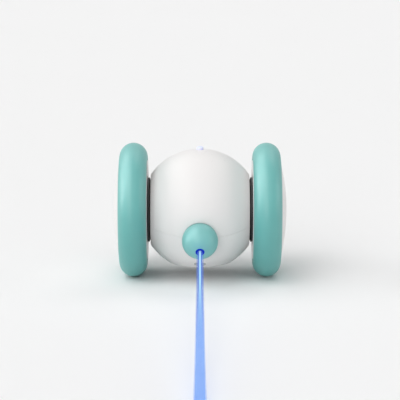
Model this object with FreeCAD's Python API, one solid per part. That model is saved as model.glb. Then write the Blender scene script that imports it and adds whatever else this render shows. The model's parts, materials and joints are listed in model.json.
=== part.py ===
"""Two-wheeled automatic cat laser toy, millimetres, +Z up, nose towards -Y.

The toy stands on its two wheels. Everything is modelled about the centre of the axle line and moved
to its place on the floor when it is written. Left and right are the toy's own, looking the way the nose
points, so the left wheel is on +X. Sub-parts that come in pairs are built on the left and mirrored.
"""

import FreeCAD, Part
import math
import os

V = FreeCAD.Vector
ORIGIN = V(0, 0, 0)
X_AXIS = V(1, 0, 0)
Y_AXIS = V(0, 1, 0)
Z_AXIS = V(0, 0, 1)
FAR = 200.0

# Drive train, laid out from the middle of the toy outwards
centre_rib_thickness = 1.8
motor_rear_gap = 0.4
motor_cap_thickness = 2.0
motor_length = 12.8
motor_front_gap = 0.1
gearbox_plate = 1.6
gear_side_gap = 0.4
big_gear_width = 2.2
gear_hub_length = 0.4
output_gear_width = 2.6
pinion_width = 2.6
gearbox_cover_plate = 1.5

# Gears
gear_module = 0.4
pinion_teeth = 12
big_teeth = 48
pressure_angle = math.radians(20.0)
addendum_share = 0.85
dedendum_share = 1.2
backlash = 0.1
flank_steps = 3
gear_hub_radius = 3.4

# Shafts and bearings
axle_radius = 1.5
axle_head_radius = 2.4
axle_head_length = 0.8
motor_shaft_radius = 0.5
idler_pin_radius = 0.75
bushing_radius = 3.0
inner_bushing_length = 2.8

# Fits and clearances
running_clearance = 0.04
close_gap = 0.1
fit_gap = 0.2
clear_gap = 0.4
cut_margin = 1.0
match_tolerance = 0.01

# Gearbox
gearbox_wall = 1.4
gearbox_tip_gap = 0.6
pinion_pocket_gap = 0.5
ear_radius = 2.2
ear_offset = 0.8
rear_ear_angles = (150.0, 225.0)

# Side bosses
boss_foot_lip = 1.0
boss_lip = 3.0
boss_proud = 2.0
boss_chamfer = 0.5
boss_spigot_margin = 0.9
boss_rim_length = 1.3

# Motors
motor_width = 12.0
motor_height = 10.0
motor_wall = 0.7
motor_nose_radius = 2.0
motor_nose_length = 0.8
armature_radius = 3.6
armature_length = 7.5
commutator_radius = 1.5
commutator_length = 2.0
motor_terminal_width = 1.6
motor_terminal_thickness = 0.4
motor_terminal_length = 2.4
motor_terminal_spacing = 6.0

# Body shells
body_radius = 34.7
body_arc_radius = 34.0
body_wall = 1.8
body_side_round = 2.0
underside_cut = 5.2
underside_round = 1.2
seam_gap = 0.1
lip_height = 1.4
lip_wall = 1.0

# Wheels
wheel_radius = 38.0
tyre_section_radius = 7.9
tyre_wall = 2.4
tyre_seat_drop = 5.1
tyre_side_step = 0.1
hub_to_body_gap = 1.8
hub_to_boss_gap = 0.6
hub_recess_gap = 0.8
hub_barrel_wall = 2.3
hub_barrel_overlap = 1.0
hub_flange_height = 3.0
hub_web_thickness = 1.8
hub_sleeve_radius = 4.0
hub_sleeve_length = 10.4
hub_rib_count = 6
hub_rib_thickness = 1.4
hub_rib_height = 4.0
cap_overlap = 1.6
cap_rim_proud = 1.0
cap_dome_height = 3.33
cap_wall = 1.6
cap_edge_round = 0.5
cap_skirt_length = 5.0
cap_skirt_wall = 1.5

# Nose and laser
nose_radius = 10.0
nose_stand = 3.3
nose_pitch = 16.1
nose_wall = 2.0
nose_neck_step = 2.2
nose_flange_width = 2.4
nose_flange_thickness = 1.4
nose_seat_depth = 0.9
aim_pitch = 26.5
aperture_radius = 2.5
aperture_core_radius = 1.35
aperture_ring_length = 2.2
laser_radius = 3.0
laser_length = 10.5
laser_setback = 2.4
lens_radius = 1.75
lens_thickness = 0.9
lens_edge_thickness = 0.3
holder_wall = 1.6
holder_length = 13.0

# Floor sensor under the nose
sensor_pitch = 51.3
sensor_window_width = 6.6
sensor_window_height = 4.2
sensor_window_sink = 0.15
sensor_window_flange = 0.9
sensor_window_flange_thickness = 0.9
sensor_diode_radius = 1.1
sensor_diode_length = 3.0
sensor_diode_spacing = 3.2
sensor_board_thickness = 1.0
sensor_board_margin = 0.3

# Battery, weight and chassis
ballast_length = 24.0
ballast_width = 22.0
ballast_thickness = 3.2
ballast_offset = 3.6
battery_length = 28.0
battery_width = 23.6
battery_thickness = 5.8
battery_offset = 3.0
battery_round = 1.6
chassis_thickness = 1.5
chassis_wall = 1.2
chassis_end_gap = 0.6
saddle_wall = 1.4
saddle_height = 6.5
chassis_front_tab = 5.2
chassis_rear_tab = 2.7
chassis_tab_radius = 3.0
chassis_boss_radius = 2.2

# Posts and screw wells that join the shells
post_gap = 0.6
post_radius = 3.0
well_radius = 2.4
well_wall = 1.2
well_seat = 2.0
peg_radius = 1.3
peg_length = 4.0

# Main board
main_board_radius = 21.0
main_board_thickness = 1.6
main_board_z = 18.5
standoff_inset = 6.0
standoff_radius = 2.0
controller_size = 7.0
controller_height = 1.0
controller_y = -7.0
driver_length = 5.0
driver_width = 3.9
driver_height = 1.5
driver_y = 5.0
connector_length = 4.8
connector_width = 4.0
connector_height = 4.5
connector_x = 8.0
connector_y = -1.0
lamp_length = 1.6
lamp_width = 1.0
lamp_height = 0.8
lamp_y = 4.1

# Power button and its switch
button_radius = 1.85
button_proud = 1.85
button_dome = 0.6
button_hole_gap = 0.15
button_flange_radius = 3.0
button_flange_thickness = 0.8
button_stem_radius = 1.3
button_travel = 0.8
switch_size = 6.0
switch_height = 3.5
switch_floor = 0.5
plunger_radius = 1.6
plunger_proud = 1.4

# Charging socket
usb_width = 8.94
usb_height = 3.26
usb_depth = 7.3
usb_wall = 0.3
usb_back = 1.0
usb_sink = 0.45
usb_tongue_width = 6.7
usb_tongue_thickness = 0.7
usb_tongue_length = 5.0
usb_hole_gap = 0.2
charge_board_half_width = 7.0
charge_board_length = 8.4
charge_board_thickness = 1.0
charge_post_inset = 2.0
charge_post_radius = 1.6

# Screws
self_tap_radius = 0.9
self_tap_head_radius = 1.9
self_tap_head_height = 1.3
small_screw_radius = 0.7
small_screw_head_radius = 1.5
small_screw_head_height = 0.9
screw_hole_gap = 0.15
screw_bite = 6.0
drive_recess_radius = 0.6
drive_recess_depth = 0.6

# Derived places across the toy, from its middle plane
motor_rear_x = centre_rib_thickness / 2 + motor_rear_gap + motor_cap_thickness
motor_front_x = motor_rear_x + motor_length
gearbox_inner_x = motor_front_x + motor_front_gap
plate_outer_x = gearbox_inner_x + gearbox_plate
big_gear_x = plate_outer_x + gear_side_gap
big_gear_end_x = big_gear_x + big_gear_width
split_x = big_gear_end_x + gear_side_gap
output_gear_x = split_x + gear_hub_length
output_gear_end_x = output_gear_x + output_gear_width
cover_plate_x = output_gear_end_x + gear_hub_length + gear_side_gap
cover_outer_x = cover_plate_x + gearbox_cover_plate
inner_half_width = cover_outer_x
body_half_width = inner_half_width + body_wall
boss_inner_x = cover_outer_x + close_gap
boss_outer_x = body_half_width + boss_proud
boss_rim_x = boss_outer_x - boss_rim_length
screw_seat_x = boss_outer_x - small_screw_head_height - fit_gap
axle_head_x = plate_outer_x - inner_bushing_length - fit_gap - axle_head_length
hub_inner_face_x = body_half_width + hub_to_body_gap
wheel_mid_x = hub_inner_face_x + tyre_side_step + tyre_section_radius
hub_web_x = boss_outer_x + hub_to_boss_gap
hub_sleeve_end_x = hub_web_x + hub_sleeve_length

# Derived gear sizes
mesh_distance = gear_module * (pinion_teeth + big_teeth) / 2
addendum = addendum_share * gear_module
big_tip_radius = gear_module * big_teeth / 2 + addendum
small_tip_radius = gear_module * pinion_teeth / 2 + addendum
pocket_radius = small_tip_radius + pinion_pocket_gap
case_radius = big_tip_radius + gearbox_tip_gap + gearbox_wall
ear_circle = case_radius + ear_offset

# Derived round sizes of the bosses, the body and the wheels
head_hole_radius = small_screw_head_radius + screw_hole_gap
boss_spigot_radius = ear_circle + head_hole_radius + boss_spigot_margin
boss_radius = boss_spigot_radius + boss_lip
boss_foot_radius = boss_spigot_radius + boss_foot_lip
body_arc_drop = body_arc_radius - math.sqrt(body_arc_radius**2 - body_half_width**2)
side_flat_radius = body_radius - body_arc_drop
inner_radius = body_radius - body_wall
underside_depth = body_radius - underside_cut
tyre_ring_radius = wheel_radius - tyre_section_radius
tyre_seat_radius = tyre_ring_radius - tyre_seat_drop
barrel_radius = tyre_seat_radius - hub_barrel_wall
cap_rim_radius = tyre_seat_radius + cap_overlap

# Derived heights, from the axle line
inner_floor_z = body_wall - underside_depth
ballast_top_z = inner_floor_z + ballast_thickness
battery_bottom_z = ballast_top_z + fit_gap
battery_top_z = battery_bottom_z + battery_thickness
chassis_bottom_z = battery_top_z + fit_gap
chassis_top_z = chassis_bottom_z + chassis_thickness
motor_z = chassis_top_z + fit_gap + motor_height / 2
board_top_z = main_board_z + main_board_thickness
plunger_top_z = board_top_z + switch_height + plunger_proud
stem_foot_z = plunger_top_z + close_gap

# Derived places from front to back, as (y, z) where they are points
axle_centre = (0.0, 0.0)
motor_centre = (0.0, motor_z)
idler_centre = (math.sqrt(mesh_distance**2 - (motor_z / 2) ** 2), motor_z / 2)
nose_centre_distance = body_radius + nose_stand
nose_neck_radius = nose_radius - nose_neck_step
nose_flange_radius = nose_neck_radius + nose_flange_width
laser_front = nose_radius - aperture_ring_length - laser_setback
nose_reach = nose_centre_distance * math.cos(math.radians(nose_pitch)) + nose_radius
tray_front_y = battery_offset - battery_width / 2 - fit_gap
tray_rear_y = battery_offset + battery_width / 2 + fit_gap
well_outer_radius = well_radius + well_wall
post_x = gearbox_inner_x - post_gap - well_outer_radius
post_y = battery_offset + battery_width / 2 + post_gap + well_outer_radius
sensor_board_half_width = sensor_window_width / 2 + sensor_board_margin
chassis_front_screw_x = sensor_board_half_width + fit_gap + chassis_boss_radius
chassis_front_screw_y = tray_front_y - chassis_wall - chassis_front_tab
chassis_rear_screw_y = tray_rear_y + chassis_wall + chassis_rear_tab
standoff_offset = main_board_radius - standoff_inset
usb_mouth_y = math.sqrt(body_radius**2 - (usb_width / 2) ** 2) - usb_sink
usb_rear_y = usb_mouth_y - usb_depth
charge_post_x = charge_board_half_width - charge_post_inset
floor_shift = V(0, (nose_reach - wheel_radius) / 2, wheel_radius)


def polar(radius, degrees):
    """A point of the YZ plane, as (y, z)."""
    return (radius * math.cos(math.radians(degrees)), radius * math.sin(math.radians(degrees)))


def bearing_angle(start, end):
    """Angle in degrees of the line from start to end, both (y, z)."""
    return math.degrees(math.atan2(end[1] - start[1], end[0] - start[0]))


def cylinder_x(radius, x0, x1, centre=axle_centre):
    return Part.makeCylinder(radius, x1 - x0, V(x0, centre[0], centre[1]), X_AXIS)


def tube_x(outer, inner, x0, x1, centre=axle_centre):
    return cylinder_x(outer, x0, x1, centre).cut(cylinder_x(inner, x0 - cut_margin, x1 + cut_margin, centre))


def cylinder_z(radius, z0, z1, x=0.0, y=0.0):
    return Part.makeCylinder(radius, z1 - z0, V(x, y, z0), Z_AXIS)


def box(x0, x1, y0, y1, z0, z1):
    return Part.makeBox(x1 - x0, y1 - y0, z1 - z0, V(x0, y0, z0))


def ball(radius, centre=ORIGIN):
    return Part.makeSphere(radius, centre, X_AXIS)


def forward_direction(pitch):
    """Unit vector that points forward and pitch degrees below level."""
    return V(0, -math.cos(math.radians(pitch)), -math.sin(math.radians(pitch)))


def rod(radius, start, direction, length):
    return Part.makeCylinder(radius, length, start, direction)


def stadium_prism(width, height, start, direction, length):
    """Prism along direction whose section is width across X with round ends."""
    across = X_AXIS
    up = direction.cross(across)
    reach = across * ((width - height) / 2)
    half = up * (height / 2)
    tip = across * (width / 2)
    corners = [start - reach - half, start + reach - half, start + reach + half, start - reach + half]
    edges = [
        Part.LineSegment(corners[0], corners[1]).toShape(),
        Part.Arc(corners[1], start + tip, corners[2]).toShape(),
        Part.LineSegment(corners[2], corners[3]).toShape(),
        Part.Arc(corners[3], start - tip, corners[0]).toShape(),
    ]
    return Part.Face(Part.Wire(edges)).extrude(direction * length)


def slot_x(radius, x0, x1, start, end):
    """Slab along X whose section is a slot of the given radius from start to end, both (y, z)."""
    body = cylinder_x(radius, x0, x1, start).fuse(cylinder_x(radius, x0, x1, end))
    length = math.dist(start, end)
    bar = box(x0, x1, 0, length, -radius, radius)
    bar.rotate(ORIGIN, X_AXIS, bearing_angle(start, end))
    bar.translate(V(0, start[0], start[1]))
    return body.fuse(bar).removeSplitter()


def mirrored(shape):
    return shape.mirror(ORIGIN, X_AXIS)


def write(node, *shapes):
    """Write the solids of one node at their place over the floor."""
    placed = []
    for shape in shapes:
        copy = shape.copy()
        copy.translate(floor_shift)
        placed.extend(copy.Solids)
    whole = placed[0] if len(placed) == 1 else Part.makeCompound(placed)
    whole.exportStep("parts/" + node + ".step")


def write_pair(name, *shapes):
    write("left_" + name, *shapes)
    write("right_" + name, *[mirrored(shape) for shape in shapes])


# Gears


def gear(teeth, x0, x1, centre, phase):
    """Spur gear with a tooth at phase degrees from +Y, as a prism from x0 to x1."""
    pitch_radius = gear_module * teeth / 2
    base_radius = pitch_radius * math.cos(pressure_angle)
    root_radius = pitch_radius - dedendum_share * gear_module
    tip_radius = pitch_radius + addendum
    half_tooth = (math.pi * gear_module / 2 - backlash) / 2 / pitch_radius

    def involute(radius):
        angle = math.acos(min(1.0, base_radius / radius))
        return math.tan(angle) - angle

    flank = []
    for step in range(flank_steps + 1):
        radius = root_radius + (tip_radius - root_radius) * step / flank_steps
        flank.append((radius, half_tooth + involute(pitch_radius) - involute(radius)))
    outline = []
    for tooth in range(teeth):
        middle = math.radians(phase) + 2 * math.pi * tooth / teeth
        for radius, half in flank:
            outline.append((radius, middle - half))
        for radius, half in reversed(flank):
            outline.append((radius, middle + half))
    points = [
        V(x0, centre[0] + radius * math.cos(angle), centre[1] + radius * math.sin(angle))
        for radius, angle in outline
    ]
    points.append(points[0])
    return Part.Face(Part.makePolygon(points)).extrude(X_AXIS * (x1 - x0))


def meshing_phase(angle, teeth):
    """Phase of a gear whose gap faces back along the line of centres at the given angle."""
    return angle + 180 + 180 / teeth


def output_gear():
    angle = bearing_angle(axle_centre, idler_centre)
    wheel = gear(big_teeth, output_gear_x, output_gear_end_x, axle_centre, angle)
    hub = cylinder_x(gear_hub_radius, output_gear_x - gear_hub_length, output_gear_end_x + gear_hub_length)
    return wheel.fuse(hub).cut(cylinder_x(axle_radius, 0, FAR))


def compound_gear():
    to_motor = bearing_angle(idler_centre, motor_centre)
    to_idler = bearing_angle(axle_centre, idler_centre)
    small_phase = meshing_phase(to_idler, pinion_teeth)
    small_end_x = output_gear_end_x + gear_hub_length
    big = gear(big_teeth, big_gear_x, big_gear_end_x, idler_centre, to_motor)
    small = gear(pinion_teeth, big_gear_end_x, small_end_x, idler_centre, small_phase)
    bore = cylinder_x(idler_pin_radius + running_clearance, 0, FAR, idler_centre)
    return big.fuse(small).cut(bore)


def motor_pinion():
    to_motor = bearing_angle(idler_centre, motor_centre)
    phase = meshing_phase(to_motor, pinion_teeth)
    start_x = big_gear_x - fit_gap
    body = gear(pinion_teeth, start_x, start_x + pinion_width, motor_centre, phase)
    return body.cut(cylinder_x(motor_shaft_radius, 0, FAR, motor_centre))


# Wheels


def tyre_ring(section_radius):
    return Part.makeTorus(tyre_ring_radius, section_radius, V(wheel_mid_x, 0, 0), X_AXIS)


def tyre_space():
    """The tyre's outer form, down to the barrel that it is seated on."""
    return tyre_ring(tyre_section_radius).cut(cylinder_x(tyre_seat_radius, 0, FAR))


def tyre():
    return tyre_space().cut(tyre_ring(tyre_section_radius - tyre_wall))


def wheel_hub():
    seat_half_width = math.sqrt(tyre_section_radius**2 - tyre_seat_drop**2)
    web_end_x = hub_web_x + hub_web_thickness
    web_radius = barrel_radius + hub_barrel_overlap
    flange_radius = tyre_seat_radius + hub_flange_height
    recess_radius = boss_radius + hub_recess_gap
    hub = tube_x(tyre_seat_radius, barrel_radius, hub_inner_face_x, wheel_mid_x + seat_half_width)
    hub = hub.fuse(tube_x(flange_radius, recess_radius, hub_inner_face_x, web_end_x))
    hub = hub.fuse(cylinder_x(web_radius, hub_web_x, web_end_x))
    hub = hub.fuse(cylinder_x(hub_sleeve_radius, hub_web_x, hub_sleeve_end_x))
    for index in range(hub_rib_count):
        half = hub_rib_thickness / 2
        rib = box(web_end_x, web_end_x + hub_rib_height, 0, web_radius, -half, half)
        rib.rotate(ORIGIN, X_AXIS, 360 / hub_rib_count * index)
        hub = hub.fuse(rib)
    hub = hub.cut(cylinder_x(axle_radius, 0, FAR)).cut(tyre_space())
    return hub.removeSplitter()


def hub_cap():
    """Dome whose rim stands a little proud of the tyre's side, with a skirt that plugs into the barrel."""
    rise = tyre_ring_radius - cap_rim_radius
    rim_x = wheel_mid_x + math.sqrt(tyre_section_radius**2 - rise**2) + cap_rim_proud
    crown_radius = (cap_rim_radius**2 + cap_dome_height**2) / (2 * cap_dome_height)
    crown_centre = V(rim_x + cap_dome_height - crown_radius, 0, 0)
    dome = ball(crown_radius, crown_centre).common(cylinder_x(cap_rim_radius, wheel_mid_x, FAR))
    round_edges = [
        edge for edge in dome.Edges if abs(edge.BoundBox.YLength - 2 * cap_rim_radius) < match_tolerance
    ]
    outer_rim = max(round_edges, key=lambda edge: edge.BoundBox.XMin)
    dome = dome.makeFillet(cap_edge_round, [outer_rim])
    dome = dome.cut(ball(crown_radius - cap_wall, crown_centre))
    skirt_radius = barrel_radius - fit_gap
    root_x = crown_centre.x + math.sqrt((crown_radius - cap_wall / 2) ** 2 - skirt_radius**2)
    skirt = tube_x(skirt_radius, skirt_radius - cap_skirt_wall, root_x - cap_skirt_length, root_x)
    return dome.fuse(skirt).cut(tyre_space())


def wheel_axle():
    shaft = cylinder_x(axle_radius, axle_head_x, hub_sleeve_end_x)
    shaft = shaft.fuse(cylinder_x(axle_head_radius, axle_head_x, axle_head_x + axle_head_length))
    return shaft.cut(cylinder_x(self_tap_radius, hub_sleeve_end_x - screw_bite, FAR))


def screw(radius, head_radius, head_height, length, seat, direction):
    """Screw whose head sits at seat and whose thread runs along direction."""
    thread = rod(radius, seat, direction, length)
    head = rod(head_radius, seat - direction * head_height, direction, head_height)
    recess = rod(drive_recess_radius, seat - direction * head_height, direction, drive_recess_depth)
    return thread.fuse(head).cut(recess)


def small_screw(length, seat, direction):
    head = (small_screw_head_radius, small_screw_head_height)
    return screw(small_screw_radius, *head, length, seat, direction)


def tapping_screw(length, seat, direction):
    head = (self_tap_head_radius, self_tap_head_height)
    return screw(self_tap_radius, *head, length, seat, direction)


def hub_screw():
    return tapping_screw(screw_bite, V(hub_sleeve_end_x, 0, 0), -X_AXIS)


def build_wheels():
    write_pair("tyre", tyre())
    write_pair("wheel_hub", wheel_hub())
    write_pair("hub_cap", hub_cap())
    write_pair("hub_screw", hub_screw())
    write_pair("axle", wheel_axle())
    write_pair("output_gear", output_gear())


# Gearboxes


def ear_points():
    """Places of the three screws that hold boss, cover and case, as (y, z)."""
    upper_angle = bearing_angle(axle_centre, idler_centre) + 90
    return [polar(ear_circle, angle) for angle in (upper_angle, *rear_ear_angles)]


def screw_holes(radius, x0):
    """Holes for the gearbox screws from x0 outwards."""
    first, *others = [cylinder_x(radius, x0, FAR, point) for point in ear_points()]
    return first.multiFuse(others)


def gearbox_outline(x0, x1):
    shape = slot_x(case_radius, x0, x1, axle_centre, idler_centre)
    shape = shape.fuse(slot_x(pocket_radius + gearbox_wall, x0, x1, axle_centre, motor_centre))
    for point in ear_points():
        shape = shape.fuse(cylinder_x(ear_radius, x0, x1, point))
    return shape.removeSplitter().common(ball(inner_radius - clear_gap))


def gearbox_case():
    bearing_x = plate_outer_x - inner_bushing_length
    case = gearbox_outline(gearbox_inner_x, split_x)
    case = case.fuse(cylinder_x(bushing_radius + gearbox_wall, bearing_x, plate_outer_x))
    case = case.cut(cylinder_x(big_tip_radius + gearbox_tip_gap, plate_outer_x, FAR, idler_centre))
    case = case.cut(cylinder_x(pocket_radius, plate_outer_x, FAR, motor_centre))
    case = case.cut(cylinder_x(bushing_radius, 0, FAR))
    case = case.cut(cylinder_x(motor_nose_radius + fit_gap, 0, FAR, motor_centre))
    case = case.cut(cylinder_x(idler_pin_radius, 0, FAR, idler_centre))
    return case.cut(screw_holes(small_screw_radius, 0))


def gearbox_cover():
    cover = gearbox_outline(split_x, cover_outer_x)
    cover = cover.cut(cylinder_x(big_tip_radius + gearbox_tip_gap, 0, cover_plate_x))
    cover = cover.cut(cylinder_x(pocket_radius, 0, cover_plate_x, idler_centre))
    cover = cover.cut(cylinder_x(axle_radius + clear_gap, 0, FAR))
    cover = cover.cut(cylinder_x(idler_pin_radius, 0, FAR, idler_centre))
    return cover.cut(screw_holes(small_screw_radius + screw_hole_gap, 0))


def side_boss():
    """Disc on the body's side, with a ring and a bearing seat that reach in to the gearbox."""
    foot_x = body_half_width + close_gap
    foot = Part.makeCone(boss_foot_radius, boss_radius, boss_rim_x - foot_x, V(foot_x, 0, 0), X_AXIS)
    disc = cylinder_x(boss_radius, boss_rim_x, boss_outer_x)
    rim = max(disc.Edges, key=lambda edge: edge.BoundBox.XMin)
    boss = disc.makeChamfer(boss_chamfer, [rim]).fuse(foot)
    face_x = boss_outer_x - boss_chamfer
    boss = boss.fuse(tube_x(boss_spigot_radius, ear_circle - head_hole_radius, boss_inner_x, face_x))
    boss = boss.fuse(cylinder_x(bushing_radius + gearbox_wall, boss_inner_x, face_x))
    boss = boss.cut(cylinder_x(bushing_radius, 0, FAR))
    boss = boss.cut(screw_holes(small_screw_radius + screw_hole_gap, 0))
    return boss.cut(screw_holes(head_hole_radius, screw_seat_x)).removeSplitter()


def bushings():
    bore = axle_radius + running_clearance
    inner = tube_x(bushing_radius, bore, plate_outer_x - inner_bushing_length, plate_outer_x)
    outer = tube_x(bushing_radius, bore, boss_inner_x, boss_outer_x)
    return [inner, outer]


def side_screws():
    length = screw_seat_x - plate_outer_x
    left = [small_screw(length, V(screw_seat_x, *point), -X_AXIS) for point in ear_points()]
    return [*left, *[mirrored(one) for one in left]]


def build_gearboxes():
    write_pair("gearbox_case", gearbox_case())
    write_pair("gearbox_cover", gearbox_cover())
    write_pair("side_boss", side_boss())
    write_pair("axle_bushings", *bushings())
    write_pair("idler_pin", cylinder_x(idler_pin_radius, gearbox_inner_x, cover_outer_x, idler_centre))
    write_pair("compound_gear", compound_gear())
    write_pair("motor_pinion", motor_pinion())
    write("side_screws", *side_screws())


# Motors

def motor_section(shrink, x0, x1):
    """Slab of the motor's section: a cylinder with a flat top and bottom, moved in by shrink."""
    flat = motor_height / 2 - shrink
    round_body = cylinder_x(motor_width / 2 - shrink, x0, x1, motor_centre)
    return round_body.common(box(x0, x1, -motor_width, motor_width, motor_z - flat, motor_z + flat))


def motor_can():
    can = motor_section(0, motor_rear_x, motor_front_x)
    front_inside_x = motor_front_x - motor_wall
    can = can.cut(motor_section(motor_wall, motor_rear_x - cut_margin, front_inside_x))
    nose_end_x = motor_front_x + motor_nose_length
    can = can.fuse(cylinder_x(motor_nose_radius, front_inside_x, nose_end_x, motor_centre))
    return can.cut(cylinder_x(motor_shaft_radius + running_clearance, 0, FAR, motor_centre))


def motor_end_cap():
    cap = motor_section(0, motor_rear_x - motor_cap_thickness, motor_rear_x)
    plug = motor_section(motor_wall, motor_rear_x, motor_rear_x + motor_wall)
    cap = cap.fuse(plug)
    return cap.cut(cylinder_x(motor_shaft_radius + running_clearance, -FAR, FAR, motor_centre))


def motor_terminals():
    """The two tabs that stand on one motor's end cap."""
    x0 = motor_rear_x - motor_cap_thickness + fit_gap
    z0 = motor_z + motor_height / 2
    tabs = []
    for side in (-1, 1):
        y0 = (side * motor_terminal_spacing - motor_terminal_width) / 2
        y1 = y0 + motor_terminal_width
        tabs.append(box(x0, x0 + motor_terminal_thickness, y0, y1, z0, z0 + motor_terminal_length))
    return tabs


def motor_shaft():
    start_x = motor_rear_x - motor_cap_thickness
    end_x = big_gear_x - fit_gap + pinion_width
    return cylinder_x(motor_shaft_radius, start_x, end_x, motor_centre)


def motor_armature():
    x0 = motor_front_x - motor_wall - fit_gap - armature_length
    body = cylinder_x(armature_radius, x0, x0 + armature_length, motor_centre)
    body = body.fuse(cylinder_x(commutator_radius, x0 - commutator_length, x0, motor_centre))
    return body.cut(cylinder_x(motor_shaft_radius, 0, FAR, motor_centre))


def build_motors():
    write_pair("motor_can", motor_can())
    write_pair("motor_end_cap", motor_end_cap())
    tabs = motor_terminals()
    write("motor_terminals", *tabs, *[mirrored(tab) for tab in tabs])
    write_pair("motor_shaft", motor_shaft())
    write_pair("motor_armature", motor_armature())


# Shells, nose and what is set in them

nose_direction = forward_direction(nose_pitch)
nose_centre = nose_direction * nose_centre_distance
aim_direction = forward_direction(aim_pitch)
sensor_direction = forward_direction(sensor_pitch)


def rim_edges(shape, radius):
    """Full circles of the given radius on shape."""
    circles = [edge for edge in shape.Edges if isinstance(edge.Curve, Part.Circle)]
    return [edge for edge in circles if abs(edge.Curve.Radius - radius) < match_tolerance]


def body_blank():
    """The solid outer form: an arc turned about the axle, with two flat sides and a flat underside."""
    ends = [V(side * body_half_width, side_flat_radius, 0) for side in (1, -1)]
    feet = [V(side * body_half_width, 0, 0) for side in (-1, 1)]
    arc = Part.Arc(ends[1], Y_AXIS * body_radius, ends[0]).toShape()
    straight = Part.makePolygon([ends[0], feet[1], feet[0], ends[1]])
    blank = Part.Face(Part.Wire([arc, *straight.Edges])).revolve(ORIGIN, X_AXIS, 360)
    blank = blank.common(box(-FAR, FAR, -FAR, FAR, -underside_depth, FAR))
    under_edges = [edge for edge in blank.Edges if edge.BoundBox.ZMax < match_tolerance - underside_depth]
    blank = blank.makeFillet(underside_round, under_edges)
    return blank.makeFillet(body_side_round, rim_edges(blank, side_flat_radius))


def body_cavity():
    limits = box(-inner_half_width, inner_half_width, -FAR, FAR, inner_floor_z, FAR)
    return ball(inner_radius).common(limits)


def hollow_shell():
    return body_blank().cut(body_cavity())


def wall_space():
    """Where posts and bosses may stand: the cavity and half of the wall round it."""
    half_wall = body_wall / 2
    return ball(inner_radius + half_wall).common(box(-FAR, FAR, -FAR, FAR, inner_floor_z - half_wall, FAR))


def seam_half(above, offset):
    """Half space above or below the seam plane moved up by offset, as a large box."""
    half = box(-FAR, FAR, -FAR, FAR, offset, FAR) if above else box(-FAR, FAR, -FAR, FAR, -FAR, offset)
    half.rotate(ORIGIN, X_AXIS, nose_pitch)
    return half


def shell_openings():
    """Everything that passes through the shell wall."""
    window_width = sensor_window_width + fit_gap
    window_height = sensor_window_height + fit_gap
    socket_width = usb_width + 2 * usb_hole_gap
    socket_height = usb_height + 2 * usb_hole_gap
    middle = inner_radius / 2
    side_holes = cylinder_x(boss_spigot_radius + fit_gap, -FAR, FAR)
    return side_holes.multiFuse(
        [
            rod(nose_neck_radius + fit_gap, nose_direction * middle, nose_direction, FAR),
            ball(nose_radius + fit_gap, nose_centre).cut(ball(body_radius - nose_seat_depth)),
            stadium_prism(window_width, window_height, sensor_direction * middle, sensor_direction, FAR),
            cylinder_z(button_radius + button_hole_gap, 0, FAR),
            stadium_prism(socket_width, socket_height, Y_AXIS * middle, Y_AXIS, FAR),
        ]
    )


def screw_post_places():
    return [(x, post_y) for x in (-post_x, post_x)]


def peg_post_places():
    return [(x, -post_y) for x in (-post_x, post_x)]


def post_places():
    return [*screw_post_places(), *peg_post_places()]


def chassis_screw_places():
    front = [(x, chassis_front_screw_y) for x in (-chassis_front_screw_x, chassis_front_screw_x)]
    return [*front, (0, chassis_rear_screw_y)]


def standoff_places():
    return [(standoff_offset, 0), (0, standoff_offset), (-standoff_offset, 0), (0, -standoff_offset)]


def seam_height(y):
    return y * math.tan(math.radians(nose_pitch))


def upper_shell():
    shell = hollow_shell()
    inside = wall_space()
    for x, y in post_places():
        shell = shell.fuse(cylinder_z(post_radius, -FAR, FAR, x, y).common(inside))
    for x, y in standoff_places():
        shell = shell.fuse(cylinder_z(standoff_radius, board_top_z, FAR, x, y).common(inside))
    shell = shell.common(seam_half(True, seam_gap / 2)).cut(shell_openings())
    for x, y in screw_post_places():
        top_z = seam_height(y) + screw_bite + cut_margin
        shell = shell.cut(cylinder_z(self_tap_radius, -FAR, top_z, x, y))
    for x, y in peg_post_places():
        foot_z = seam_height(y) - peg_length
        shell = shell.fuse(cylinder_z(peg_radius, foot_z, seam_height(y) + cut_margin, x, y))
    for x, y in standoff_places():
        shell = shell.cut(cylinder_z(small_screw_radius, 0, board_top_z + screw_bite, x, y))
    return shell


def lower_shell():
    shell = hollow_shell()
    inside = wall_space()
    for x, y in screw_post_places():
        shell = shell.fuse(cylinder_z(well_outer_radius, -FAR, FAR, x, y).common(inside))
    for x, y in peg_post_places():
        shell = shell.fuse(cylinder_z(post_radius, -FAR, FAR, x, y).common(inside))
    for x, y in chassis_screw_places():
        shell = shell.fuse(cylinder_z(chassis_boss_radius, -FAR, chassis_bottom_z, x, y).common(inside))
    for x in (-charge_post_x, charge_post_x):
        top_z = -usb_height / 2 - charge_board_thickness
        shell = shell.fuse(cylinder_z(charge_post_radius, -FAR, top_z, x, usb_rear_y).common(inside))
    shell = shell.common(seam_half(False, -seam_gap / 2)).fuse(locating_lip()).cut(shell_openings())
    for x, y in screw_post_places():
        shell = shell.cut(cylinder_z(well_radius, -FAR, well_seat_z(y), x, y))
        shell = shell.cut(cylinder_z(self_tap_radius + screw_hole_gap, -FAR, FAR, x, y))
    for x, y in peg_post_places():
        foot_z = seam_height(y) - peg_length - clear_gap
        shell = shell.cut(cylinder_z(peg_radius + close_gap, foot_z, FAR, x, y))
    for x, y in chassis_screw_places():
        shell = shell.cut(cylinder_z(self_tap_radius, chassis_top_z - screw_bite, FAR, x, y))
    return shell


def well_seat_z(y):
    """Height of the seat that the screw head pulls against, a little under the seam."""
    return seam_height(y - well_outer_radius) - well_seat


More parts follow.
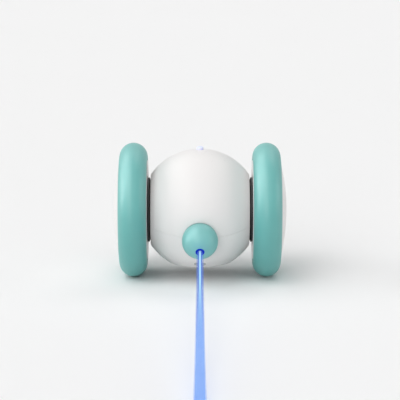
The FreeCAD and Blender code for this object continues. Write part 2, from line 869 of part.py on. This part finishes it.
def locating_lip():
    """Ring inside the seam that stands up from the lower shell into the upper one."""
    outer_radius = inner_radius - close_gap
    outer = ball(outer_radius).common(seam_half(True, -seam_gap))
    root = ball(inner_radius + body_wall / 2).common(seam_half(False, -seam_gap / 2))
    ring = outer.fuse(root).cut(ball(outer_radius - lip_wall))
    band = seam_half(True, -lip_height).common(seam_half(False, lip_height))
    sides = box(-inner_half_width, inner_half_width, -FAR, FAR, -FAR, FAR)
    keep_out = rod(nose_flange_radius + fit_gap, ORIGIN, nose_direction, FAR)
    return ring.common(band).common(sides).cut(keep_out)


def nose_shell():
    front = ball(nose_radius, nose_centre).cut(ball(body_radius - nose_seat_depth + close_gap))
    neck = rod(nose_neck_radius, ORIGIN, nose_direction, FAR).common(ball(body_radius))
    flange = rod(nose_flange_radius, ORIGIN, nose_direction, FAR).common(ball(inner_radius - fit_gap))
    inner_limit = inner_radius - fit_gap - nose_flange_thickness
    body = neck.fuse(flange).cut(ball(inner_limit)).fuse(front)
    body = body.cut(ball(nose_radius - nose_wall, nose_centre))
    body = body.cut(rod(nose_neck_radius - nose_wall, ORIGIN, nose_direction, nose_centre_distance))
    return body.cut(rod(aperture_radius + running_clearance, nose_centre, aim_direction, FAR))


def laser_holder():
    end = nose_radius - nose_wall
    start = nose_centre + aim_direction * (end - holder_length)
    outer = rod(laser_radius + holder_wall, start, aim_direction, holder_length)
    outer = outer.common(ball(end - running_clearance, nose_centre))
    return outer.cut(rod(laser_radius, start - aim_direction * cut_margin, aim_direction, FAR))


def laser_module():
    start = nose_centre + aim_direction * (laser_front - laser_length)
    body = rod(laser_radius, start, aim_direction, laser_length)
    seat = rod(lens_radius, start + aim_direction * (laser_length - lens_thickness), aim_direction, FAR)
    return body.cut(seat)


def laser_lens():
    """Flat at the back and domed at the front, with a straight edge."""
    start = nose_centre + aim_direction * (laser_front - lens_thickness)
    crown_height = lens_thickness - lens_edge_thickness
    disc = rod(lens_radius, start, aim_direction, lens_thickness + cut_margin)
    crown_radius = (lens_radius**2 + crown_height**2) / (2 * crown_height)
    crown = ball(crown_radius, start + aim_direction * (lens_thickness - crown_radius))
    return disc.common(crown)


def aperture_ring():
    start = nose_centre + aim_direction * (nose_radius - aperture_ring_length - fit_gap)
    ring = rod(aperture_radius, start, aim_direction, FAR)
    ring = ring.common(ball(nose_radius - close_gap, nose_centre))
    return ring.cut(rod(aperture_core_radius, start - aim_direction * cut_margin, aim_direction, FAR))


def floor_sensor_window():
    """Smoked plug in the shell's wall, held from inside by a wider flange."""
    start = sensor_direction * (inner_radius / 2)
    flange_width = sensor_window_width + 2 * sensor_window_flange
    flange_height = sensor_window_height + 2 * sensor_window_flange
    inner_face = inner_radius - close_gap
    plug = stadium_prism(sensor_window_width, sensor_window_height, start, sensor_direction, FAR)
    plug = plug.common(ball(body_radius - sensor_window_sink))
    flange = stadium_prism(flange_width, flange_height, start, sensor_direction, FAR)
    flange = flange.common(ball(inner_face))
    return plug.fuse(flange).cut(ball(inner_face - sensor_window_flange_thickness))


def floor_sensor():
    """The emitter and receiver behind the window, and the small board that carries them."""
    front = inner_radius - clear_gap - sensor_window_flange_thickness
    base = front - sensor_diode_length
    straight = sensor_diode_length - sensor_diode_radius
    board_height = sensor_window_height + 2 * sensor_board_margin
    board_back = sensor_direction * (base - sensor_board_thickness)
    pieces = [
        stadium_prism(
            2 * sensor_board_half_width, board_height, board_back, sensor_direction, sensor_board_thickness
        )
    ]
    for side in (-1, 1):
        foot = sensor_direction * base + X_AXIS * (side * sensor_diode_spacing / 2)
        diode = rod(sensor_diode_radius, foot, sensor_direction, straight)
        lens = ball(sensor_diode_radius, foot + sensor_direction * straight)
        pieces.append(diode.fuse(lens).common(ball(front)))
    return pieces


def build_body():
    write("upper_shell", upper_shell())
    write("lower_shell", lower_shell())
    write("nose_shell", nose_shell())
    write("laser_holder", laser_holder())
    write("laser_module", laser_module())
    write("laser_lens", laser_lens())
    write("aperture_ring", aperture_ring())
    write("floor_sensor_window", floor_sensor_window())
    write("floor_sensor", *floor_sensor())


# Chassis, battery and weight


def chassis():
    """Tray over the battery, with saddles and a centre rib that hold the two motors."""
    plate_x = gearbox_inner_x - chassis_end_gap
    wall_x = battery_length / 2 + fit_gap
    outer_x = wall_x + chassis_wall
    front_y = tray_front_y - chassis_wall
    rear_y = tray_rear_y + chassis_wall
    skirt = box(-outer_x, outer_x, front_y, rear_y, inner_floor_z, chassis_top_z)
    skirt = skirt.cut(box(-wall_x, wall_x, tray_front_y, tray_rear_y, inner_floor_z, chassis_bottom_z))
    frame = box(-plate_x, plate_x, front_y, rear_y, chassis_bottom_z, chassis_top_z)
    frame = frame.fuse(skirt.common(ball(inner_radius - fit_gap)))
    for x, y in chassis_screw_places():
        frame = frame.fuse(slot_z(chassis_tab_radius, chassis_bottom_z, chassis_top_z, x, y))
    for x, y in post_places():
        frame = frame.cut(cylinder_z(well_outer_radius + fit_gap, -FAR, FAR, x, y))
    saddle_top_z = chassis_top_z + saddle_height
    saddle_y = motor_width / 2 + fit_gap
    saddle_end_y = saddle_y + saddle_wall
    saddle_end_x = motor_front_x - motor_nose_length
    rib_x = centre_rib_thickness / 2
    frame = frame.fuse(box(-rib_x, rib_x, -saddle_end_y, saddle_end_y, chassis_bottom_z, saddle_top_z))
    for x0, x1 in ((motor_rear_x, saddle_end_x), (-saddle_end_x, -motor_rear_x)):
        for y0, y1 in ((saddle_y, saddle_end_y), (-saddle_end_y, -saddle_y)):
            frame = frame.fuse(box(x0, x1, y0, y1, chassis_bottom_z, saddle_top_z))
    for x, y in chassis_screw_places():
        frame = frame.cut(cylinder_z(self_tap_radius + screw_hole_gap, -FAR, FAR, x, y))
    return frame.removeSplitter()


def slot_z(radius, z0, z1, x, y):
    """Strip along Y from the axle line to a round end about (x, y)."""
    strip = box(x - radius, x + radius, min(0, y), max(0, y), z0, z1)
    return strip.fuse(cylinder_z(radius, z0, z1, x, y))


def block(length, width, y_middle, z0, z1):
    """Box centred on the middle plane, length across X and width along Y."""
    return box(-length / 2, length / 2, y_middle - width / 2, y_middle + width / 2, z0, z1)


def battery():
    cell = block(battery_length, battery_width, battery_offset, battery_bottom_z, battery_top_z)
    edges = [edge for edge in cell.Edges if abs(edge.BoundBox.XLength - battery_length) < match_tolerance]
    return cell.makeFillet(battery_round, edges)


def ballast_weight():
    """Steel plate on the floor of the body, its corners trimmed to the round wall."""
    plate = block(ballast_length, ballast_width, ballast_offset, inner_floor_z, ballast_top_z)
    return plate.common(ball(inner_radius - close_gap))


def shell_screws():
    screws = []
    for x, y in screw_post_places():
        seat_z = well_seat_z(y)
        screws.append(tapping_screw(seam_height(y) + screw_bite - seat_z, V(x, y, seat_z), Z_AXIS))
    return screws


def chassis_screws():
    return [tapping_screw(screw_bite, V(x, y, chassis_top_z), -Z_AXIS) for x, y in chassis_screw_places()]


def build_chassis():
    write("chassis", chassis())
    write("battery", battery())
    write("ballast_weight", ballast_weight())
    write("shell_screws", *shell_screws())
    write("chassis_screws", *chassis_screws())


# Boards, button and charging socket


def main_board():
    board = cylinder_z(main_board_radius, main_board_z, board_top_z)
    for x, y in post_places():
        board = board.cut(cylinder_z(post_radius + clear_gap, 0, FAR, x, y))
    for x, y in standoff_places():
        board = board.cut(cylinder_z(small_screw_radius + screw_hole_gap, 0, FAR, x, y))
    return board


def board_screws():
    length = main_board_thickness + screw_bite - fit_gap
    return [small_screw(length, V(x, y, main_board_z), Z_AXIS) for x, y in standoff_places()]


def board_components():
    """Controller, motor driver, two plug-in connectors and the lamp beside the switch."""
    below = main_board_z
    controller = block(controller_size, controller_size, controller_y, below - controller_height, below)
    driver = block(driver_length, driver_width, driver_y, below - driver_height, below)
    connector = block(connector_length, connector_width, connector_y, below - connector_height, below)
    connector.translate(X_AXIS * connector_x)
    lamp = block(lamp_length, lamp_width, lamp_y, board_top_z, board_top_z + lamp_height)
    return [controller, driver, connector, mirrored(connector), lamp]


def power_switch():
    body = block(switch_size, switch_size, 0, board_top_z, board_top_z + switch_height)
    return body.cut(cylinder_z(plunger_radius + close_gap, board_top_z + switch_floor, FAR))


def switch_plunger():
    return cylinder_z(plunger_radius, board_top_z + switch_floor + fit_gap + button_travel, plunger_top_z)


def power_button():
    """Domed cap through the shell, with a flange that stops it inside and a stem down to the switch."""
    top_z = body_radius + button_proud
    flange_top_z = math.sqrt(inner_radius**2 - button_flange_radius**2) - fit_gap
    flange_bottom_z = flange_top_z - button_flange_thickness
    crown_radius = (button_radius**2 + button_dome**2) / (2 * button_dome)
    cap = cylinder_z(button_radius, flange_bottom_z, top_z)
    dome = ball(crown_radius, V(0, 0, top_z - crown_radius))
    shaft = cylinder_z(button_radius, flange_bottom_z, top_z - button_dome)
    flange = cylinder_z(button_flange_radius, flange_bottom_z, flange_top_z)
    stem = cylinder_z(button_stem_radius, stem_foot_z, flange_top_z)
    return cap.common(dome).multiFuse([shaft, flange, stem]).removeSplitter()


def usb_c_socket():
    inner_width = usb_width - 2 * usb_wall
    inner_height = usb_height - 2 * usb_wall
    sleeve = stadium_prism(usb_width, usb_height, Y_AXIS * usb_rear_y, Y_AXIS, usb_depth)
    hollow = stadium_prism(inner_width, inner_height, Y_AXIS * (usb_rear_y + usb_back), Y_AXIS, usb_depth)
    half = usb_tongue_thickness / 2
    tongue_length = usb_back + usb_tongue_length
    tongue = block(usb_tongue_width, tongue_length, usb_rear_y + tongue_length / 2, -half, half)
    return sleeve.cut(hollow).fuse(tongue)


def charging_board():
    top_z = -usb_height / 2
    bottom_z = top_z - charge_board_thickness
    board = block(2 * charge_board_half_width, charge_board_length, usb_rear_y, bottom_z, top_z)
    return board.common(ball(inner_radius - fit_gap))


def build_electronics():
    write("main_board", main_board())
    write("board_components", *board_components())
    write("board_screws", *board_screws())
    write("power_switch", power_switch())
    write("switch_plunger", switch_plunger())
    write("power_button", power_button())
    write("usb_c_socket", usb_c_socket())
    write("charging_board", charging_board())


os.makedirs("parts", exist_ok=True)
build_wheels()
build_gearboxes()
build_motors()
build_body()
build_chassis()
build_electronics()
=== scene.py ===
"""Looks of the cat laser toy: the finish of every piece, its studio, and the laser's light.

Everything is in metres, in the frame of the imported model: +Z up, the floor at Z 0, the nose
towards -Y. Left and right are the toy's own, except where a line speaks of the viewer.
"""
import json
import math

import bmesh
import bpy
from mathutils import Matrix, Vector

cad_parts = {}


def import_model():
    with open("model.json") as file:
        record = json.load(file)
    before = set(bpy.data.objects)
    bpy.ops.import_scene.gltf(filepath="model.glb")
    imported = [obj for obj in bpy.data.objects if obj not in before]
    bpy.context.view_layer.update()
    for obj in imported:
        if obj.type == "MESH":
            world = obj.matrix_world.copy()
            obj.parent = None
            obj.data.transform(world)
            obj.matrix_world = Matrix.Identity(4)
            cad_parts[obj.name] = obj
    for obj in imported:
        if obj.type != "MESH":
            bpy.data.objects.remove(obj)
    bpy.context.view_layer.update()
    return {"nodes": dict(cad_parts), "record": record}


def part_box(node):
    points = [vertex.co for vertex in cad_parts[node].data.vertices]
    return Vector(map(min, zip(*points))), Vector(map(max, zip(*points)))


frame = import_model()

MM = 0.001


# ---------------------------------------------------------------- places read from the model

MOUTH_PAST_RING = 0.5 * MM          # from the middle of the aperture's ring to the beam's start


def middle(*nodes):
    """The middle of the box that these CAD nodes fill together."""
    corners = [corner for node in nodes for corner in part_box(node)]
    low = Vector(map(min, zip(*corners)))
    high = Vector(map(max, zip(*corners)))
    return (low + high) / 2


axle_middle = middle("left_tyre", "right_tyre")
lens_middle = middle("laser_lens")
ring_middle = middle("aperture_ring")
aim = (ring_middle - lens_middle).normalized()
mouth = ring_middle + aim * MOUTH_PAST_RING


# ---------------------------------------------------------------- colours

def srgb(red, green, blue):
    """A colour written as screen values from 0 to 255, as the linear values that a shader takes."""
    def linear(value):
        share = value / 255
        return share / 12.92 if share <= 0.04045 else ((share + 0.055) / 1.055) ** 2.4
    return linear(red), linear(green), linear(blue)


def shaded(colour, factor):
    """The colour made lighter or darker by a factor."""
    return tuple(min(1.0, value * factor) for value in colour)


TEAL = srgb(116, 181, 179)
DEEP_TEAL = srgb(84, 163, 159)
WHITE = srgb(231, 229, 228)
DARK_GREY = srgb(42, 44, 44)
BLACK = srgb(28, 28, 30)
IVORY = srgb(222, 214, 194)
NYLON = srgb(231, 229, 221)
SMOKE = srgb(184, 186, 188)
LENS_BLUE = srgb(170, 222, 250)
LENS_GLOW = srgb(165, 224, 254)
LASER_BLUE = srgb(6, 34, 140)
LASER_GLOW = srgb(12, 48, 178)
LILAC = srgb(222, 226, 254)
LILAC_GLOW = srgb(196, 204, 255)
BOARD_GREEN = srgb(22, 104, 66)
TRACK_GREEN = srgb(48, 138, 92)
STEEL = srgb(196, 197, 199)
SCREW_STEEL = srgb(160, 161, 164)
BRASS = srgb(216, 186, 122)
COPPER = srgb(206, 140, 104)
FOIL = srgb(184, 186, 190)
PALE = srgb(244, 244, 244)


# ---------------------------------------------------------------- shader building

NOISE_RANGE = (0.25, 0.75)          # Blender's noise hardly ever leaves this part of 0 to 1


def map_range(tree, value, source, target):
    """The value with its range source laid over the range target."""
    mapped = tree.nodes.new("ShaderNodeMapRange")
    for socket, end in zip(("From Min", "From Max", "To Min", "To Max"), (*source, *target)):
        mapped.inputs[socket].default_value = end
    tree.links.new(value, mapped.inputs["Value"])
    return mapped.outputs["Result"]


class Shader:
    """A Principled material, with short calls for the nodes that vary it over the surface."""

    def __init__(self, name, colour, roughness, metallic=0.0):
        self.name = name
        self.material = bpy.data.materials.new(name)
        self.material.use_nodes = True
        self.tree = self.material.node_tree
        self.surface = self.tree.nodes["Principled BSDF"]
        self.place = self.tree.nodes.new("ShaderNodeTexCoord").outputs["Object"]
        self.set("Base Color", (*colour, 1))
        self.set("Roughness", roughness)
        self.set("Metallic", metallic)

    def set(self, socket, value):
        """Sets one of the surface's own sockets."""
        self.surface.inputs[socket].default_value = value

    def join(self, output, socket):
        """Lets a node drive one of the surface's sockets."""
        self.tree.links.new(output, self.surface.inputs[socket])

    def glow(self, colour, strength):
        """Lets the surface give off light of its own."""
        self.set("Emission Color", (*colour, 1))
        self.set("Emission Strength", strength)

    def milky(self, weight, depth):
        """Lets light sink about depth metres into the surface."""
        self.set("Subsurface Weight", weight)
        self.set("Subsurface Scale", depth)

    def stretched(self, along):
        """The place on the piece, squeezed by three factors, so that a pattern on it stretches."""
        mapping = self.tree.nodes.new("ShaderNodeMapping")
        mapping.inputs["Scale"].default_value = along
        self.tree.links.new(self.place, mapping.inputs["Vector"])
        return mapping.outputs["Vector"]

    def noise(self, size, detail=2.0, place=None):
        """Soft noise from 0 to 1 with patches about size metres across."""
        texture = self.tree.nodes.new("ShaderNodeTexNoise")
        texture.inputs["Scale"].default_value = 1 / size
        texture.inputs["Detail"].default_value = detail
        self.tree.links.new(place or self.place, texture.inputs["Vector"])
        return texture.outputs["Fac"]

    def cells(self, size):
        """Rounded cells about size metres across, dark at their middles."""
        texture = self.tree.nodes.new("ShaderNodeTexVoronoi")
        texture.feature = "SMOOTH_F1"
        texture.inputs["Scale"].default_value = 1 / size
        self.tree.links.new(self.place, texture.inputs["Vector"])
        return texture.outputs["Distance"]

    def vary_roughness(self, noise, low, high):
        """Lets noise move the roughness between low and high."""
        self.join(map_range(self.tree, noise, NOISE_RANGE, (low, high)), "Roughness")

    def vary_colour(self, noise, colour, low, high):
        """Lets noise shade the base colour by factors between low and high."""
        mix = self.tree.nodes.new("ShaderNodeMix")
        mix.data_type = "RGBA"
        colours = {"A": shaded(colour, low), "B": shaded(colour, high)}
        for socket in mix.inputs:
            if socket.type == "RGBA":
                socket.default_value = (*colours[socket.name], 1)
        self.tree.links.new(noise, mix.inputs["Factor"])
        self.join(next(socket for socket in mix.outputs if socket.type == "RGBA"), "Base Color")

    def bump(self, height, depth):
        """Shades the surface as if it rose by depth metres where height is 1."""
        bump = self.tree.nodes.new("ShaderNodeBump")
        bump.inputs["Strength"].default_value = 1.0
        bump.inputs["Distance"].default_value = depth
        self.tree.links.new(height, bump.inputs["Height"])
        self.join(bump.outputs["Normal"], "Normal")


# ---------------------------------------------------------------- materials

MOULDINGS = (
    # slot, colour, roughness, grain in mm, its depth in mm, unevenness of tone, gloss
    ("teal_plastic", TEAL, 0.4, 0.3, 0.004, 0.03, 0.63),
    ("white_plastic", WHITE, 0.3, 0.45, 0.0025, 0.008, 0.08),
    ("dark_grey_plastic", DARK_GREY, 0.5, 0.25, 0.01, 0.08, 0.5),
    ("black_plastic", BLACK, 0.48, 0.25, 0.01, 0.08, 0.5),
    ("ivory_plastic", IVORY, 0.45, 0.4, 0.005, 0.03, 0.5),
)
METALS = (
    # slot, colour, roughness, how its tool marks are squeezed along X, Y and Z
    ("steel", STEEL, 0.3, (0.15, 1, 1)),
    ("screw_steel", SCREW_STEEL, 0.36, (1, 1, 1)),
    ("brass", BRASS, 0.3, (0.2, 1, 1)),
    ("copper", COPPER, 0.34, (1, 1, 1)),
)


def moulded(name, colour, roughness, grain, depth, mottle=0.03, gloss=0.5):
    """Injection-moulded plastic, a little uneven in tone and gloss, with its mould's fine grain.

    The grain and its depth are in millimetres.
    """
    shader = Shader(name, colour, roughness)
    shader.set("Specular IOR Level", gloss)
    clouds = shader.noise(9 * MM, detail=3.0)
    sheen = shader.noise(2.5 * MM, detail=4.0)
    shader.vary_colour(clouds, colour, low=1 - mottle, high=1 + mottle)
    shader.vary_roughness(sheen, low=roughness * 0.88, high=roughness * 1.12)
    shader.bump(shader.noise(grain * MM, detail=3.0), depth=depth * MM)
    return shader


def silicone():
    """Soft satin silicone of the tyres, a little uneven, over a fine orange-peel skin."""
    shader = Shader("teal_silicone", DEEP_TEAL, roughness=0.44)
    shader.set("Specular IOR Level", 1.0)
    shader.vary_colour(shader.noise(6 * MM, detail=4.0), DEEP_TEAL, low=0.97, high=1.03)
    shader.vary_roughness(shader.noise(1.6 * MM, detail=4.0), low=0.4, high=0.48)
    shader.bump(shader.cells(0.35 * MM), depth=0.012 * MM)
    return shader


def metal(name, colour, roughness, squeeze):
    """Machined metal with fine tool marks, drawn out where squeeze is small."""
    shader = Shader(name, colour, roughness, metallic=1.0)
    marks = shader.noise(0.12 * MM, place=shader.stretched(squeeze))
    shader.vary_roughness(marks, low=roughness * 0.75, high=roughness * 1.3)
    shader.vary_colour(shader.noise(4 * MM, detail=3.0), colour, low=0.92, high=1.04)
    shader.bump(marks, depth=0.004 * MM)
    return shader


def gear_nylon():
    """Natural nylon: milky, with light sinking a little way in."""
    shader = moulded("gear_nylon", NYLON, roughness=0.42, grain=0.5, depth=0.004)
    shader.milky(weight=0.15, depth=1 * MM)
    return shader


def smoked_window():
    """Smoky grey plastic of the floor sensor's window, under a polished skin."""
    shader = Shader("smoked_plastic", SMOKE, roughness=0.12)
    shader.set("Coat Weight", 0.6)
    shader.set("Coat Roughness", 0.06)
    shader.vary_colour(shader.noise(1.5 * MM), SMOKE, low=0.85, high=1.15)
    shader.bump(shader.noise(0.8 * MM), depth=0.002 * MM)
    return shader


def lens_glass():
    """The laser's lens, pale blue and lit from behind."""
    shader = Shader("lens_glass", LENS_BLUE, roughness=0.08)
    shader.glow(LENS_GLOW, strength=1.6)
    shader.vary_roughness(shader.noise(0.6 * MM), low=0.06, high=0.1)
    return shader


def aperture_blue():
    """Deep blue plastic of the aperture's ring, with laser light glowing in it."""
    shader = moulded("blue_plastic", LASER_BLUE, roughness=0.45, grain=0.4, depth=0.003, gloss=0.15)
    shader.glow(LASER_GLOW, strength=0.4)
    return shader


def button_lilac():
    """The power button's cap: pale lilac, milky, lit faintly by its lamp."""
    shader = moulded("button_plastic", LILAC, roughness=0.3, grain=0.5, depth=0.003)
    shader.milky(weight=0.2, depth=0.8 * MM)
    shader.glow(LILAC_GLOW, strength=0.1)
    return shader


def battery_foil():
    """The cell's pouch: dull silver foil, softly creased, with painted shade in its hollows and
    painted light on its crests.
    """
    shader = Shader("battery_foil", FOIL, roughness=0.34, metallic=1.0)
    creases_and_shade = shader.noise(2.2 * MM, detail=5.0)
    shader.vary_roughness(creases_and_shade, low=0.26, high=0.42)
    # painted shade and light: the colour follows the bumps' noise, darker in the hollows and a
    # little lighter on the crests
    shader.vary_colour(creases_and_shade, FOIL, low=0.88, high=1.05)
    shader.bump(creases_and_shade, depth=0.12 * MM)
    return shader


def circuit_board():
    """Green solder mask with paler tracks under it."""
    shader = Shader("green_board", BOARD_GREEN, roughness=0.32)
    tracks = shader.tree.nodes.new("ShaderNodeTexBrick")
    looks = {
        "Scale": 1.0, "Brick Width": 4.2 * MM, "Row Height": 1.1 * MM, "Mortar Size": 0.18 * MM,
        "Color1": (*BOARD_GREEN, 1), "Color2": (*shaded(BOARD_GREEN, 0.9), 1),
        "Mortar": (*TRACK_GREEN, 1),
    }
    for socket, value in looks.items():
        tracks.inputs[socket].default_value = value
    shader.tree.links.new(shader.place, tracks.inputs["Vector"])
    shader.join(tracks.outputs["Color"], "Base Color")
    shader.bump(tracks.outputs["Fac"], depth=0.03 * MM)
    return shader


def finishes():
    """One material for each material slot of the record."""
    made = [
        silicone(),
        *(moulded(*row) for row in MOULDINGS),
        gear_nylon(),
        *(metal(*row) for row in METALS),
        lens_glass(),
        aperture_blue(),
        smoked_window(),
        button_lilac(),
        battery_foil(),
        circuit_board(),
    ]
    return {shader.name: shader.material for shader in made}


def dress_nodes():
    """Gives every CAD node the material of its slot in the record."""
    made = finishes()
    for part in frame["record"]["subparts"]:
        mesh = frame["nodes"][part["node"]].data
        mesh.materials.clear()
        mesh.materials.append(made[part["material_slot"]])


def add(name, data):
    """Puts a new object with this mesh, lamp or camera into the scene."""
    piece = bpy.data.objects.new(name, data)
    bpy.context.collection.objects.link(piece)
    return piece


# ---------------------------------------------------------------- the laser's beam, a stage effect

BEAM_SLOPE = math.radians(5.0)      # below level, to meet the floor past the picture's lower edge
BEAM_SIDES = 48
BEAM_STOPS = (0, 6, 63, 102, 143, 188, 262)    # mm along the beam, where each layer has its radii
BEAM_CHANGE = (0.2, 0.55)           # shares of the length between which colour and cover change
HEART_WHITE = (0.95, 1.6, 1.45)     # past 1, so that it looks pale behind the outer layers
BEAM_LAYERS = (
    # name, radii in mm, colour near the nose, colour far from it, cover near, cover far
    ("beam_haze", (0.9, 1.9, 2.0, 2.2, 2.4, 2.75, 3.5),
     srgb(96, 132, 226), srgb(136, 176, 252), 0.25, 0.22),
    ("beam_sleeve", (0.75, 1.1, 1.35, 1.8, 2.0, 2.25, 2.9),
     srgb(78, 118, 218), srgb(114, 168, 250), 0.45, 0.45),
    ("beam_heart", (0.5, 0.52, 0.6, 0.8, 1.2, 1.8, 2.4),
     HEART_WHITE, srgb(130, 176, 252), 0.8, 0.1),
)
GLOW_AHEAD = 6 * MM                 # from the aperture to the small lamp that tints the nose
GLOW_RADIUS = 1 * MM
GLOW_POWER = 0.0002                 # watts
GLOW_BLUE = (0.1, 0.3, 1.0)


def beam_light(name, near, far, cover_near, cover_far, length):
    """Light that hangs in the air, with a colour and a cover that change along its length."""
    material = bpy.data.materials.new(name)
    material.use_nodes = True
    tree = material.node_tree
    tree.nodes.clear()
    place = tree.nodes.new("ShaderNodeTexCoord")
    split = tree.nodes.new("ShaderNodeSeparateXYZ")
    colour = tree.nodes.new("ShaderNodeMixRGB")
    light = tree.nodes.new("ShaderNodeEmission")
    clear = tree.nodes.new("ShaderNodeBsdfTransparent")
    mix = tree.nodes.new("ShaderNodeMixShader")
    out = tree.nodes.new("ShaderNodeOutputMaterial")
    colour.inputs["Color1"].default_value = (*near, 1)
    colour.inputs["Color2"].default_value = (*far, 1)
    tree.links.new(place.outputs["Object"], split.inputs["Vector"])
    distance = split.outputs["Z"]
    change = [share * length for share in BEAM_CHANGE]
    cover = (cover_near, cover_far)
    tree.links.new(map_range(tree, distance, change, (0, 1)), colour.inputs["Fac"])
    tree.links.new(map_range(tree, distance, change, cover), mix.inputs["Fac"])
    tree.links.new(colour.outputs["Color"], light.inputs["Color"])
    tree.links.new(clear.outputs["BSDF"], mix.inputs[1])
    tree.links.new(light.outputs["Emission"], mix.inputs[2])
    tree.links.new(mix.outputs["Shader"], out.inputs["Surface"])
    return material


def open_cone(name, stops, material):
    """A tube along its own +Z, open at both ends. The stops give its radius at each distance."""
    mesh = bpy.data.meshes.new(name)
    grid = bmesh.new()
    turns = [2 * math.pi * side / BEAM_SIDES for side in range(BEAM_SIDES)]
    rings = []
    for distance, radius in stops:
        around = [(radius * math.cos(turn), radius * math.sin(turn)) for turn in turns]
        rings.append([grid.verts.new((x, y, distance)) for x, y in around])
    for near, far in zip(rings, rings[1:]):
        for side in range(BEAM_SIDES):
            following = (side + 1) % BEAM_SIDES
            face = grid.faces.new((near[side], near[following], far[following], far[side]))
            face.smooth = True
    grid.to_mesh(mesh)
    grid.free()
    mesh.materials.append(material)
    return add(name, mesh)


def beam():
    """The beam: a bright heart in a bluer sleeve with haze round it, and the glow that it casts."""
    heading = Vector((0, -math.cos(BEAM_SLOPE), -math.sin(BEAM_SLOPE)))
    for name, radii, near, far, cover_near, cover_far in BEAM_LAYERS:
        stops = [(distance * MM, radius * MM) for distance, radius in zip(BEAM_STOPS, radii)]
        length, _ = stops[-1]
        light = beam_light(name, near, far, cover_near, cover_far, length)
        piece = open_cone(name, stops, light)
        piece.location = mouth
        piece.rotation_euler = heading.to_track_quat("Z", "Y").to_euler()
        piece.visible_shadow = False
    glow = bpy.data.lights.new("beam_glow", "POINT")
    glow.energy = GLOW_POWER
    glow.color = GLOW_BLUE
    glow.shadow_soft_size = GLOW_RADIUS
    add("beam_glow", glow).location = mouth + heading * GLOW_AHEAD


# ---------------------------------------------------------------- studio

FLOOR_SIZE = 20.0                   # far past the view on every side
FLOOR_PATCHES = 0.4                 # how wide its faint differences of tone are
DOME = 0.135                        # light from everywhere, as a share of the light on the floor
GLOSS_LAMPS = ("gloss_left",)       # these add highlights alone
LAMPS = (
    # name, degrees to the viewer's left of the camera, degrees up, degrees wide, share on the floor
    ("lamp_side_left", 90, 19, 35, 0.095),
    ("lamp_left_high", 60, 60, 35, 0.17),
    ("lamp_front_left", 38, 38, 35, 0.13),
    ("lamp_front_right", -30, 35, 35, 0.045),
    ("lamp_front_high", 5, 60, 35, 0.07),
    ("lamp_front_low", 16, 15, 35, 0.055),
    ("lamp_right_high", -45, 60, 35, 0.035),
    ("lamp_side_right", -90, 15, 35, 0.045),
    ("lamp_back_left", 147, 55, 35, 0.10),
    ("lamp_back_right", -145, 55, 35, 0.12),
    ("gloss_left", 100, 38, 70, 0.45),
)


def floor():
    """A plain pale floor that fills the view."""
    bpy.ops.mesh.primitive_plane_add(size=FLOOR_SIZE)
    plane = bpy.context.object
    plane.name = "floor"
    shader = Shader("floor_paper", PALE, roughness=1.0)
    shader.set("Specular IOR Level", 0.0)
    shader.vary_colour(shader.noise(FLOOR_PATCHES), PALE, low=0.995, high=1.005)
    plane.data.materials.append(shader.material)


def lamps():
    """Soft lamps far away. Each gives the floor its share of the light, whatever its height.

    A sun lamp of energy pi straight above lights the floor fully.
    """
    for name, azimuth, height, width, share in LAMPS:
        turn = math.radians(azimuth)
        rise = math.radians(height)
        level = math.cos(rise)
        towards = Vector((-math.sin(turn) * level, -math.cos(turn) * level, math.sin(rise)))
        lamp = bpy.data.lights.new(name, "SUN")
        lamp.angle = math.radians(width)
        lamp.energy = share * math.pi / towards.z
        piece = add(name, lamp)
        piece.rotation_euler = towards.to_track_quat("Z", "Y").to_euler()
        piece.visible_diffuse = name not in GLOSS_LAMPS


def world():
    """An even dome of light, which the camera, gloss and glass see as the pale background."""
    made = bpy.data.worlds.new("studio")
    made.use_nodes = True
    tree = made.node_tree
    dome = tree.nodes["Background"]
    dome.inputs["Color"].default_value = (1, 1, 1, 1)
    dome.inputs["Strength"].default_value = DOME
    seen = tree.nodes.new("ShaderNodeBackground")
    seen.inputs["Color"].default_value = (*PALE, 1)
    path = tree.nodes.new("ShaderNodeLightPath")
    straight = path.outputs["Is Camera Ray"]
    for kind in ("Is Glossy Ray", "Is Transmission Ray"):
        either = tree.nodes.new("ShaderNodeMath")
        either.operation = "MAXIMUM"
        tree.links.new(straight, either.inputs[0])
        tree.links.new(path.outputs[kind], either.inputs[1])
        straight = either.outputs["Value"]
    mix = tree.nodes.new("ShaderNodeMixShader")
    tree.links.new(straight, mix.inputs["Fac"])
    tree.links.new(dome.outputs["Background"], mix.inputs[1])
    tree.links.new(seen.outputs["Background"], mix.inputs[2])
    tree.links.new(mix.outputs["Shader"], tree.nodes["World Output"].inputs["Surface"])
    bpy.context.scene.world = made


# ---------------------------------------------------------------- camera

CAMERA_TILT = math.radians(11.0)    # how far it looks down
CAMERA_DISTANCE = 1.0525
CAMERA_LENS = 166.5                 # mm
CAMERA_SENSOR = 36                  # mm
CAMERA_NEAREST = 0.01
CAMERA_FARTHEST = 3 * FLOOR_SIZE
AIM_ABOVE_AXLE = 5.4 * MM           # up the picture, so that the toy sits a little below its middle


def camera():
    """A long lens in front of the toy, a little above it."""
    data = bpy.data.cameras.new("camera")
    data.sensor_width = CAMERA_SENSOR
    data.lens = CAMERA_LENS
    data.clip_start = CAMERA_NEAREST
    data.clip_end = CAMERA_FARTHEST
    up = Vector((0, math.sin(CAMERA_TILT), math.cos(CAMERA_TILT)))
    back = Vector((0, -math.cos(CAMERA_TILT), math.sin(CAMERA_TILT)))
    piece = add("camera", data)
    piece.location = axle_middle + up * AIM_ABOVE_AXLE + back * CAMERA_DISTANCE
    piece.rotation_euler = (math.pi / 2 - CAMERA_TILT, 0, 0)
    bpy.context.scene.camera = piece


dress_nodes()
beam()
floor()
lamps()
world()
camera()
bpy.context.scene.view_settings.view_transform = "Standard"
